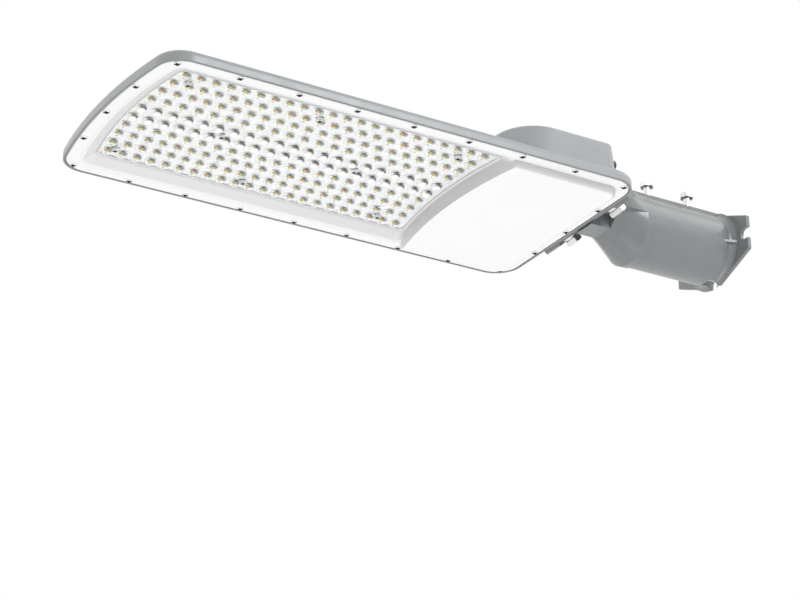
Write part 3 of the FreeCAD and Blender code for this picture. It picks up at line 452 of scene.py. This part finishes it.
def band(bm, loops, index=0, closed=False):
    """Faces through a row of loops, and from the last back to the first if it is closed."""
    following = loops[1:] + loops[:1] if closed else loops[1:]
    for a, b in zip(loops, following):
        bridge(bm, a, b, index)


def loop_edges(bm, loop):
    """The edges of a loop, made where they are missing."""
    return [bm.edges.get((loop[k - 1], loop[k])) or bm.edges.new((loop[k - 1], loop[k]))
            for k in range(len(loop))]


def turned(bm, x, y, profile, count, index=0, close=True):
    """Turned form from (rx, ry, z) levels; the last level is its tip. Returns its first loop."""
    loops = [ring(bm, x, y, z, rx, ry, count) for rx, ry, z in profile[:-1]]
    band(bm, loops, index)
    tip = bm.verts.new((x, y, profile[-1][2]))
    last = loops[-1]
    for k in range(count):
        bm.faces.new((last[k], last[(k + 1) % count], tip)).material_index = index
    if close:
        bm.faces.new(loops[0]).material_index = index
    return loops[0]


def dome(base, rx, ry, height, rows):
    """Levels of a dome that hangs down from its base."""
    steps = [math.pi / 2 * k / rows for k in range(rows + 1)]
    return [(rx * math.cos(t), ry * math.cos(t), base - height * math.sin(t)) for t in steps]


def place_new(bm, start, matrix):
    """Moves all points drawn since there were start of them."""
    bm.verts.ensure_lookup_table()
    bmesh.ops.transform(bm, matrix=matrix, verts=bm.verts[start:])


def turn_z(degrees):
    return Matrix.Rotation(math.radians(degrees), 4, "Z")


def piece(name, bm, mats, replaced=()):
    """Turns a mesh drawn in millimetres into a piece of the part."""
    bmesh.ops.recalc_face_normals(bm, faces=bm.faces)
    bm.transform(Matrix.Scale(0.001, 4))
    mesh = bpy.data.meshes.new(name)
    bm.to_mesh(mesh)
    bm.free()
    for mat in mats:
        mesh.materials.append(mat)
    mesh.polygons.foreach_set("use_smooth", [True] * len(mesh.polygons))
    mesh.set_sharp_from_angle(angle=math.radians(SHARP_ANGLE))
    obj = bpy.data.objects.new(name, mesh)
    bpy.context.scene.collection.objects.link(obj)
    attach(obj, "root")
    if replaced:
        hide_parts(*replaced)


def islands(name):
    """Lowest and highest corner of each separate solid in a node, in millimetres."""
    mesh = nodes[name].data
    keys = {}
    index = [keys.setdefault(tuple(round(c, 6) for c in v.co), len(keys)) for v in mesh.vertices]
    parent = list(range(len(keys)))

    def find(i):
        while parent[i] != i:
            parent[i] = parent[parent[i]]
            i = parent[i]
        return i

    for face in mesh.polygons:
        corners = [index[v] for v in face.vertices]
        for other in corners[1:]:
            parent[find(other)] = find(corners[0])
    groups = {}
    for v, i in zip(mesh.vertices, index):
        groups.setdefault(find(i), []).append(v.co * 1000)
    boxes = []
    for points in groups.values():
        low = Vector([min(p[k] for p in points) for k in range(3)])
        high = Vector([max(p[k] for p in points) for k in range(3)])
        boxes.append((low, high))
    return sorted(boxes, key=lambda b: (round(b[0].y, 2), b[0].x))


def middles(name):
    """Place in plan of each separate solid in a node."""
    return [((low.x + high.x) / 2, (low.y + high.y) / 2) for low, high in islands(name)]


# Outlines in plan

def arc_points(cx, cy, radius, start, end, count):
    """Points along an arc, from its start up to just before its end, in degrees."""
    turns = [math.radians(start + (end - start) * k / count) for k in range(count)]
    return [(cx + radius * math.cos(a), cy + radius * math.sin(a)) for a in turns]


def plate_outline(inset):
    """Outline of the lens plate, moved inwards: bowed ends, straight sides, round corners."""
    half = PLATE_HALF - inset
    near = PLATE_FRONT + inset + PLATE_BOW
    far = PLATE_BACK - inset + PLATE_BOW
    cy = half - PLATE_CORNER
    fx = near - math.sqrt((PLATE_BOW - PLATE_CORNER) ** 2 - cy ** 2)
    bx = far - math.sqrt((PLATE_BOW + PLATE_CORNER) ** 2 - cy ** 2)
    ft = math.degrees(math.atan2(cy, near - fx))
    bt = math.degrees(math.atan2(cy, far - bx))
    return (arc_points(near, 0, PLATE_BOW, 180 + ft, 180 - ft, PLATE_END_POINTS)
            + arc_points(fx, cy, PLATE_CORNER, 180 - ft, 90, PLATE_CORNER_POINTS)
            + arc_points(bx, cy, PLATE_CORNER, 90, -bt, PLATE_CORNER_POINTS)
            + arc_points(far, 0, PLATE_BOW, 180 - bt, 180 + bt, PLATE_END_POINTS)
            + arc_points(bx, -cy, PLATE_CORNER, bt, -90, PLATE_CORNER_POINTS)
            + arc_points(fx, -cy, PLATE_CORNER, -90, ft - 180, PLATE_CORNER_POINTS))


def head_outline(inset):
    """Outline of the head, moved inwards: bowed nose, straight sides and back."""
    corner = HEAD_CORNER - inset
    cy = HEAD_HALF - HEAD_CORNER
    nose = HEAD_FRONT + NOSE_RADIUS
    fx = nose - math.sqrt((NOSE_RADIUS - HEAD_CORNER) ** 2 - cy ** 2)
    bx = HEAD_BACK - HEAD_CORNER
    ft = math.degrees(math.atan2(cy, nose - fx))
    return (arc_points(nose, 0, NOSE_RADIUS - inset, 180 + ft, 180 - ft, NOSE_POINTS)
            + arc_points(fx, cy, corner, 180 - ft, 90, FRONT_CORNER_POINTS)
            + arc_points(bx, cy, corner, 90, 0, BACK_CORNER_POINTS) + [(bx + corner, cy)]
            + arc_points(bx, -cy, corner, 0, -90, BACK_CORNER_POINTS) + [(bx, -cy - corner)]
            + arc_points(fx, -cy, corner, -90, ft - 180, FRONT_CORNER_POINTS))


def outline_loop(bm, outline, inset, z):
    """Loop of points along an outline."""
    return [bm.verts.new((x, y, z)) for x, y in outline(inset)]


def strip(name, outline, section, level, mat):
    """A strip with the given section that runs round an outline."""
    bm = bmesh.new()
    loops = [outline_loop(bm, outline, inset, level + height) for inset, height in section]
    band(bm, loops, closed=True)
    piece(name, bm, [mat])


# Light field

lens_middles = middles("led_chips")
post_middles = middles("lens_screws")


def is_clear(y):
    """Whether a lens is in one of the two middle rows."""
    return abs(y) < CLEAR_ROW_SIDE


def bulge(bm, x, y, form, index):
    """A small dome in the lens at x and y."""
    levels = dome(LENS_FACE - form.below, form.rx, form.ry, form.height, form.rows)
    turned(bm, x + form.along, y + form.across, levels, form.points, index)


def make_lens_array():
    """The lens plate in one piece: its domes, its bored posts and its stepped edge."""
    bm = bmesh.new()
    face_edges = []
    top_edges = []
    for x, y in lens_middles:
        height = CLEAR_LENS_HEIGHT if is_clear(y) else LENS_HEIGHT
        levels = dome(LENS_FACE, LENS_RADIUS, LENS_RADIUS, height, LENS_ROWS)
        face_edges += loop_edges(bm, turned(bm, x, y, levels, LENS_POINTS, close=False))
    post_tip = LENS_FACE - POST_HEIGHT
    for x, y in post_middles:
        levels = [(POST_RADIUS, LENS_FACE), (POST_RADIUS, post_tip + POST_EDGE),
                  (POST_RADIUS - POST_EDGE, post_tip), (POST_BORE, post_tip),
                  (POST_BORE, LENS_TOP)]
        loops = [ring(bm, x, y, z, r, r, LENS_POINTS) for r, z in levels]
        band(bm, loops)
        face_edges += loop_edges(bm, loops[0])
        top_edges += loop_edges(bm, loops[-1])
    rims = [outline_loop(bm, plate_outline, inset, z) for inset, z in
            [(0, LENS_FACE), (0, BOARD_Z), (PLATE_LEDGE, BOARD_Z), (PLATE_LEDGE, LENS_TOP)]]
    band(bm, rims)
    bmesh.ops.triangle_fill(bm, use_beauty=True, edges=face_edges + loop_edges(bm, rims[0]))
    bmesh.ops.triangle_fill(bm, use_beauty=True, edges=top_edges + loop_edges(bm, rims[-1]))
    piece("lens_array", bm, [lens_clear], ["lens_plate"])


def make_lens_cores():
    """What shows inside each lens: painted shade as a dark crescent with a grey lobe and foot, or
    a bright cap over a dark neck with a dark dot and a grey glint, also painted shade.
    """
    bm = bmesh.new()
    neck = [(rx, ry, LENS_FACE - depth) for rx, ry, depth in NECK_LEVELS]
    for x, y in lens_middles:
        if is_clear(y):
            turned(bm, x + NECK_ALONG, y + NECK_ACROSS, neck, NECK_POINTS)
            bulge(bm, x, y, CLEAR_CAP, 2)
            bulge(bm, x, y, CLEAR_SHADE_DOT, 0)
            bulge(bm, x, y, CLEAR_GLINT, 1)
        else:
            bulge(bm, x, y, SHADE_CRESCENT, 0)
            bulge(bm, x, y, SHADE_LOBE, 1)
            bulge(bm, x, y, SHADE_FOOT, 1)
    piece("lens_cores", bm, [lens_shade_dark, lens_shade_grey, cap_white])


def make_leds():
    """Ceramic bodies on the board, and the phosphor that shows through each lens."""
    bm = bmesh.new()
    body = [(r, r, BOARD_Z - depth) for r, depth in LED_LEVELS]
    for x, y in lens_middles:
        turned(bm, x, y, body, LED_CORNERS, 1)
        bulge(bm, x, y, CLEAR_GLOW if is_clear(y) else GLOW, 0)
    piece("led_packages", bm, [phosphor, ceramic], ["led_chips"])


# Screws with a cross recess

def screw_mesh(bm, name):
    """The drawn mesh, with its faces turned outwards and a screw's two materials: steel and the
    recess's painted shade.
    """
    bmesh.ops.recalc_face_normals(bm, faces=bm.faces)
    mesh = bpy.data.meshes.new(name)
    bm.to_mesh(mesh)
    bm.free()
    mesh.materials.append(screw_steel)
    mesh.materials.append(recess_shade)
    return mesh


def recess_bar(radius, height, turn):
    """One bar of the cross recess, narrower at its floor; its faces are painted near black as
    shade.
    """
    bm = bmesh.new()
    spin = turn_z(turn)
    top = -height - RECESS_PROUD
    floor_level = -height + RECESS_DEPTH * height
    corners = [(a * RECESS_LENGTH * radius, b * RECESS_WIDTH * radius)
               for a, b in ((1, 1), (-1, 1), (-1, -1), (1, -1))]
    upper = [bm.verts.new(spin @ Vector((x, y, top))) for x, y in corners]
    lower = [bm.verts.new(spin @ Vector((x * RECESS_FLOOR_LENGTH, y * RECESS_FLOOR_WIDTH,
                                         floor_level))) for x, y in corners]
    bridge(bm, upper, lower, 1)
    for loop in (upper, lower):
        bm.faces.new(loop).material_index = 1
    return screw_mesh(bm, "cutter")


def without(mesh, cutter):
    """The mesh less another one."""
    both = [bpy.data.objects.new("cut", m) for m in (mesh, cutter)]
    for obj in both:
        bpy.context.scene.collection.objects.link(obj)
    cut = both[0].modifiers.new("cut", "BOOLEAN")
    cut.operation = "DIFFERENCE"
    cut.solver = "EXACT"
    cut.object = both[1]
    shaped = both[0].evaluated_get(bpy.context.evaluated_depsgraph_get())
    result = bpy.data.meshes.new_from_object(shaped)
    for obj in both:
        bpy.data.objects.remove(obj)
    return result


def pan_head(radius, height):
    """One pan head with a cross recess, hanging down from z = 0."""
    bm = bmesh.new()
    profile = [(r * radius, r * radius, -height * h) for r, h in PAN_PROFILE]
    turned(bm, 0, 0, profile, HEAD_POINTS)
    head = screw_mesh(bm, "head")
    for turn in (0, 90):
        head = without(head, recess_bar(radius, height, turn))
    return head


def make_screws(name, node, size):
    """Screws in place of a node's, driven home at slightly different turns."""
    head = pan_head(size.radius, size.height)
    shank = size.radius * SHANK_SHARE
    bm = bmesh.new()
    for k, (low, high) in enumerate(islands(node)):
        x = (low.x + high.x) / 2
        y = (low.y + high.y) / 2
        face = low.z + size.node_height
        turn = SCREW_TURN + SCREW_TURN_STEP * k % SCREW_TURN_RANGE
        start = len(bm.verts)
        bm.from_mesh(head)
        place_new(bm, start, Matrix.Translation((x, y, face)) @ turn_z(turn))
        levels = [(shank, shank, face - SINK), (shank, shank, high.z - SHANK_TIP), (0, 0, high.z)]
        turned(bm, x, y, levels, SHANK_POINTS)
    piece(name, bm, [screw_steel, recess_shade], [node])


# Hexagon bolts

def hex_head(bm, bolt, turns):
    """Hexagon head above z = 0, chamfered on both faces; its underside, collar and lower chamfer
    are painted dark as shade.
    """
    round_face = FACE_SHARE * bolt.flats / 2
    sixth = math.pi / 3
    reach = [bolt.flats / 2 / math.cos((a + sixth / 2) % sixth - sixth / 2) for a in turns]
    under = [UNDER_START + (r - round_face) * UNDER_SLOPE for r in reach]
    top = [bolt.head - (r - round_face) * TOP_SLOPE for r in reach]
    count = len(turns)

    def loop(radii, heights):
        return [bm.verts.new((r * math.cos(a), r * math.sin(a), z))
                for a, r, z in zip(turns, radii, heights)]

    face = [round_face] * count
    low_loops = [loop(face, [0] * count), loop(face, [COLLAR_HEIGHT] * count), loop(reach, under)]
    high_loops = [low_loops[-1], loop(reach, top), loop(face, [bolt.head] * count)]
    # Underside, collar and lower chamfer in painted shade
    band(bm, low_loops, 1)
    band(bm, high_loops, 0)
    bm.faces.new(low_loops[0]).material_index = 1
    bm.faces.new(high_loops[-1])


def threaded_shank(bm, bolt, turns):
    """Shank below z = 0: a plain stretch, then a thread that fades out at its tip."""
    radius = bolt.diameter / 2
    threaded = bolt.length - bolt.plain
    rows = int(threaded / bolt.pitch * ROWS_PER_TURN)
    loops = [[bm.verts.new((radius * math.cos(a), radius * math.sin(a), SINK)) for a in turns]]
    for j in range(rows + 1):
        z = -bolt.plain - threaded * j / rows
        taper = TIP_TAPER * (1 - min(1.0, (rows - j) / ROWS_PER_TURN))
        loop = []
        for a in turns:
            phase = (z / bolt.pitch - a / (2 * math.pi)) % 1.0
            groove = THREAD_DEPTH * bolt.pitch * abs(2 * phase - 1)
            r = radius - THREAD_PLAY - groove - taper
            loop.append(bm.verts.new((r * math.cos(a), r * math.sin(a), z)))
        loops.append(loop)
    band(bm, loops)
    bm.faces.new(loops[0])
    bm.faces.new(loops[-1])


def hex_bolt(bm, matrix, bolt):
    """Bolt with its head above z = 0 and its shank below, moved to its place."""
    start = len(bm.verts)
    turns = [2 * math.pi * k / BOLT_POINTS for k in range(BOLT_POINTS)]
    hex_head(bm, bolt, turns)
    threaded_shank(bm, bolt, turns[::2])
    place_new(bm, start, matrix)


def washer(bm, matrix, inner, outer, low, high):
    """Washer with a broken edge round the bolt's axis."""
    start = len(bm.verts)
    levels = [(inner, low), (outer, low), (outer, high - WASHER_EDGE),
              (outer - WASHER_EDGE, high), (inner, high)]
    band(bm, [ring(bm, 0, 0, z, r, r, WASHER_POINTS) for r, z in levels], closed=True)
    place_new(bm, start, matrix)


def make_foot_bolts():
    """Foot bolts, each on a flat washer and a spring washer."""
    bm = bmesh.new()
    tilt = Matrix.Rotation(math.radians(FOOT_TILT), 4, "Y")
    bore = FOOT_BOLT.diameter / 2
    for (low, high), turn in zip(islands("arm_bolts"), FOOT_BOLT_TURNS):
        side = (low.y + high.y) / 2
        place = Matrix.Translation((-FOOT_REACH, side, 0)) @ tilt
        washer(bm, place, bore, FOOT_WASHER, 0, WASHER_TOP)
        washer(bm, place, bore, SPRING_WASHER, WASHER_TOP, SPRING_TOP)
        raised = place @ Matrix.Translation((0, 0, SPRING_TOP))
        hex_bolt(bm, raised @ turn_z(turn), FOOT_BOLT)
    piece("foot_bolts", bm, [bolt_steel, bolt_under_shade], ["arm_bolts"])


def make_clamp_bolts():
    """Set bolts in the arm's rib, which clamp the pole."""
    bm = bmesh.new()
    for (low, high), turn in zip(islands("set_bolts"), SET_BOLT_TURNS):
        x = (low.x + high.x) / 2
        place = Matrix.Translation((x, 0, high.z - SET_BOLT.head))
        hex_bolt(bm, place @ turn_z(turn), SET_BOLT)
    piece("clamp_bolts", bm, [bolt_steel, bolt_under_shade], ["set_bolts"])


make_lens_array()
make_lens_cores()
make_leds()
# Dark strip in the gap between the housing's edge and the front cover: painted shade of the shadow
# gap
strip("edge_gap_shade", head_outline, GAP_SHADE_SECTION, RIM_Z, gap_shade_strip)
# Pale lip of the lens seal, which rounds the foot of the window's wall
strip("seal_lip", plate_outline, LIP_SECTION, LENS_FACE, lip_rubber)
make_screws("pan_screws", "cover_screws", COVER_HEAD)
make_screws("post_screws", "lens_screws", LENS_HEAD)
make_foot_bolts()
make_clamp_bolts()


# Floor, light and camera

def white_to_camera(tree, shader_socket, out_socket, white):
    """White where the camera, a mirror or clear plastic sees it; else the shader given."""
    path = tree.nodes.new("ShaderNodeLightPath")
    seen = tree.nodes.new("ShaderNodeMath")
    seen.operation = "ADD"
    seen_or_through = tree.nodes.new("ShaderNodeMath")
    seen_or_through.operation = "ADD"
    seen_or_through.use_clamp = True
    tree.links.new(path.outputs["Is Camera Ray"], seen.inputs[0])
    tree.links.new(path.outputs["Is Glossy Ray"], seen.inputs[1])
    tree.links.new(seen.outputs[0], seen_or_through.inputs[0])
    tree.links.new(path.outputs["Is Transmission Ray"], seen_or_through.inputs[1])
    white.inputs["Color"].default_value = (1, 1, 1, 1)
    white.inputs["Strength"].default_value = 1.0
    mix = tree.nodes.new("ShaderNodeMixShader")
    tree.links.new(seen_or_through.outputs[0], mix.inputs["Fac"])
    tree.links.new(shader_socket, mix.inputs[1])
    tree.links.new(white.outputs[0], mix.inputs[2])
    tree.links.new(mix.outputs[0], out_socket)


def make_world():
    """Even light from all round."""
    world = bpy.data.worlds.new("studio")
    bpy.context.scene.world = world
    world.use_nodes = True
    tree = world.node_tree
    background = next(n for n in tree.nodes if n.type == "BACKGROUND")
    output = next(n for n in tree.nodes if n.type == "OUTPUT_WORLD")
    background.inputs["Color"].default_value = (1, 1, 1, 1)
    background.inputs["Strength"].default_value = WORLD_LIGHT
    white_to_camera(tree, background.outputs[0], output.inputs["Surface"],
                    tree.nodes.new("ShaderNodeBackground"))


def make_floor():
    """Plain pale floor."""
    corners = [(a * FLOOR_REACH, b * FLOOR_REACH, FLOOR_Z)
               for a, b in ((-1, -1), (1, -1), (1, 1), (-1, 1))]
    mesh = bpy.data.meshes.new("floor")
    mesh.from_pydata(corners, [], [(0, 1, 2, 3)])
    floor = bpy.data.objects.new("floor", mesh)
    bpy.context.scene.collection.objects.link(floor)
    mat = NodeMaterial("floor")
    mat.set("Base Color", (*grey(0.9), 1))
    mat.set("Roughness", 0.9)
    white_to_camera(mat.made.node_tree, mat.shader.outputs[0], mat.output.inputs["Surface"],
                    mat.nodes.new("ShaderNodeEmission"))
    mesh.materials.append(mat.made)


def make_lamp(name, lamp):
    """Square area lamp that shines at the middle of the part from a direction."""
    data = bpy.data.lights.new(name, "AREA")
    data.shape = "SQUARE"
    data.size = lamp.size
    data.energy = lamp.power
    obj = bpy.data.objects.new(name, data)
    away = Vector(lamp.direction).normalized()
    obj.location = LAMP_AIM + away * lamp.distance
    obj.rotation_euler = (-away).to_track_quat("-Z", "Y").to_euler()
    bpy.context.scene.collection.objects.link(obj)


def make_camera():
    """Camera at the photograph's viewing angle."""
    data = bpy.data.cameras.new("camera")
    data.lens = CAMERA_LENS
    data.sensor_width = CAMERA_SENSOR
    data.sensor_fit = "HORIZONTAL"
    camera = bpy.data.objects.new("camera", data)
    turn = math.radians(CAMERA_TURN)
    rise = math.radians(CAMERA_RISE)
    aim = Vector((math.cos(rise) * math.sin(turn), math.cos(rise) * math.cos(turn),
                  math.sin(rise)))
    facing = aim.to_track_quat("-Z", "Y").to_matrix().to_4x4()
    camera.matrix_world = Matrix.Translation(CAMERA_PLACE) @ facing @ turn_z(CAMERA_ROLL)
    bpy.context.scene.collection.objects.link(camera)
    bpy.context.scene.camera = camera


make_world()
make_floor()
for lamp_name, lamp_values in LAMPS.items():
    make_lamp(lamp_name, lamp_values)
make_camera()
bpy.context.scene.view_settings.view_transform = "Standard"
